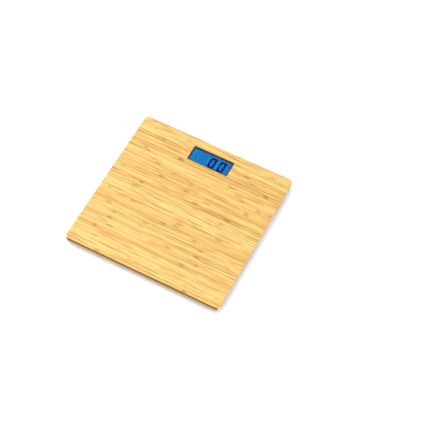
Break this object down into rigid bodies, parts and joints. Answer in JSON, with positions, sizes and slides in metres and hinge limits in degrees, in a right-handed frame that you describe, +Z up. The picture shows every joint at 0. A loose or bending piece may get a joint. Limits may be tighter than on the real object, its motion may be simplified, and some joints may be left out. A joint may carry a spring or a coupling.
{
  "type": "digital bathroom scale",
  "caption": "Square bamboo bathroom scale: two-ply wooden platform on sprung load-cell feet, flush blue-lit digital display near the rear edge, electronics and battery bay underneath.",
  "frame": {"origin": "on the floor, under the middle of the square platform, midway between the four feet", "axes": "+Z up out of the standing surface; +Y towards the rear edge, where the display is; +X to the right of the person standing on it"},
  "size_m": [0.3, 0.3, 0.02],
  "materials": {
    "bamboo_face": "lacquered bamboo strips, satin",
    "bamboo_core": "lacquered bamboo strips laid crosswise, satin",
    "lens_acrylic": "clear acrylic window over a blue lit display, black printed border",
    "frame_plastic": "fine matte",
    "lcd_glass": "polarised liquid-crystal glass",
    "backlight": "blue light guide",
    "contact_elastomer": "striped elastomer",
    "circuit_board": "green solder mask",
    "black_epoxy": "glossy potting",
    "switch_plastic": "moulded",
    "button_plastic": "fine matte",
    "housing_plastic": "spark-eroded matte ABS",
    "cell_jacket": "printed foil jacket, satin",
    "contact_steel": "nickel plated",
    "screw_steel": "zinc plated",
    "cell_steel": "stamped, nickel plated",
    "white_epoxy": "silicone potting",
    "foot_plastic": "moulded",
    "pad_rubber": "soft matte rubber",
    "lead_sleeve": "PVC insulated wires",
    "label_foil": "blank satin foil sticker"
  },
  "bodies": {
    "platform": {"top_panel": "bamboo_face", "base_panel": "bamboo_core", "display_lens": "lens_acrylic", "display_frame": "frame_plastic", "lcd_glass": "lcd_glass", "backlight_panel": "backlight", "contact_strip": "contact_elastomer", "main_board": "circuit_board", "controller_chip": "black_epoxy", "unit_switch": "switch_plastic", "electronics_housing": "housing_plastic", "battery_cell_a": "cell_jacket", "battery_cell_b": "cell_jacket", "contact_bridge": "contact_steel", "contact_positive": "contact_steel", "contact_negative": "contact_steel", "battery_spring_a": "contact_steel", "battery_spring_b": "contact_steel", "board_screw_left": "screw_steel", "board_screw_right": "screw_steel", "rating_label": "label_foil", "housing_screw_front_left": "screw_steel", "foot_screw_front_left_a": "screw_steel", "foot_screw_front_left_b": "screw_steel", "foot_housing_front_left": "housing_plastic", "load_cell_front_left": "cell_steel", "strain_gauge_front_left": "white_epoxy", "sensor_lead_front_left": "lead_sleeve", "housing_screw_front_right": "screw_steel", "foot_screw_front_right_a": "screw_steel", "foot_screw_front_right_b": "screw_steel", "foot_housing_front_right": "housing_plastic", "load_cell_front_right": "cell_steel", "strain_gauge_front_right": "white_epoxy", "sensor_lead_front_right": "lead_sleeve", "housing_screw_rear_left": "screw_steel", "foot_screw_rear_left_a": "screw_steel", "foot_screw_rear_left_b": "screw_steel", "foot_housing_rear_left": "housing_plastic", "load_cell_rear_left": "cell_steel", "strain_gauge_rear_left": "white_epoxy", "sensor_lead_rear_left": "lead_sleeve", "housing_screw_rear_right": "screw_steel", "foot_screw_rear_right_a": "screw_steel", "foot_screw_rear_right_b": "screw_steel", "foot_housing_rear_right": "housing_plastic", "load_cell_rear_right": "cell_steel", "strain_gauge_rear_right": "white_epoxy", "sensor_lead_rear_right": "lead_sleeve"},
    "battery_door": {"battery_door": "housing_plastic"},
    "unit_button": {"unit_button": "button_plastic", "switch_plunger": "button_plastic"},
    "foot_front_left": {"foot_cap_front_left": "foot_plastic", "foot_pad_front_left": "pad_rubber"},
    "foot_front_right": {"foot_cap_front_right": "foot_plastic", "foot_pad_front_right": "pad_rubber"},
    "foot_rear_left": {"foot_cap_rear_left": "foot_plastic", "foot_pad_rear_left": "pad_rubber"},
    "foot_rear_right": {"foot_cap_rear_right": "foot_plastic", "foot_pad_rear_right": "pad_rubber"}
  },
  "joints": [
    {"name": "foot_travel_front_left", "type": "slide", "parent": "platform", "child": "foot_front_left", "axis": [0, 0, 1], "range_m": [0, 0.00025], "stiffness_N_per_m": 2500, "springref_m": -0.002},
    {"name": "foot_travel_front_right", "type": "slide", "parent": "platform", "child": "foot_front_right", "axis": [0, 0, 1], "range_m": [0, 0.00025], "stiffness_N_per_m": 2500, "springref_m": -0.002},
    {"name": "foot_travel_rear_left", "type": "slide", "parent": "platform", "child": "foot_rear_left", "axis": [0, 0, 1], "range_m": [0, 0.00025], "stiffness_N_per_m": 2500, "springref_m": -0.002},
    {"name": "foot_travel_rear_right", "type": "slide", "parent": "platform", "child": "foot_rear_right", "axis": [0, 0, 1], "range_m": [0, 0.00025], "stiffness_N_per_m": 2500, "springref_m": -0.002},
    {"name": "battery_door_hinge", "type": "hinge", "parent": "platform", "child": "battery_door", "pos_m": [0, 0.0674, 0.0043], "axis": [-1, 0, 0], "range_deg": [0, 80]},
    {"name": "unit_button_press", "type": "slide", "parent": "platform", "child": "unit_button", "axis": [0, 0, 1], "range_m": [0, 0.0005], "stiffness_N_per_m": 800, "springref_m": -0.0005}
  ]
}
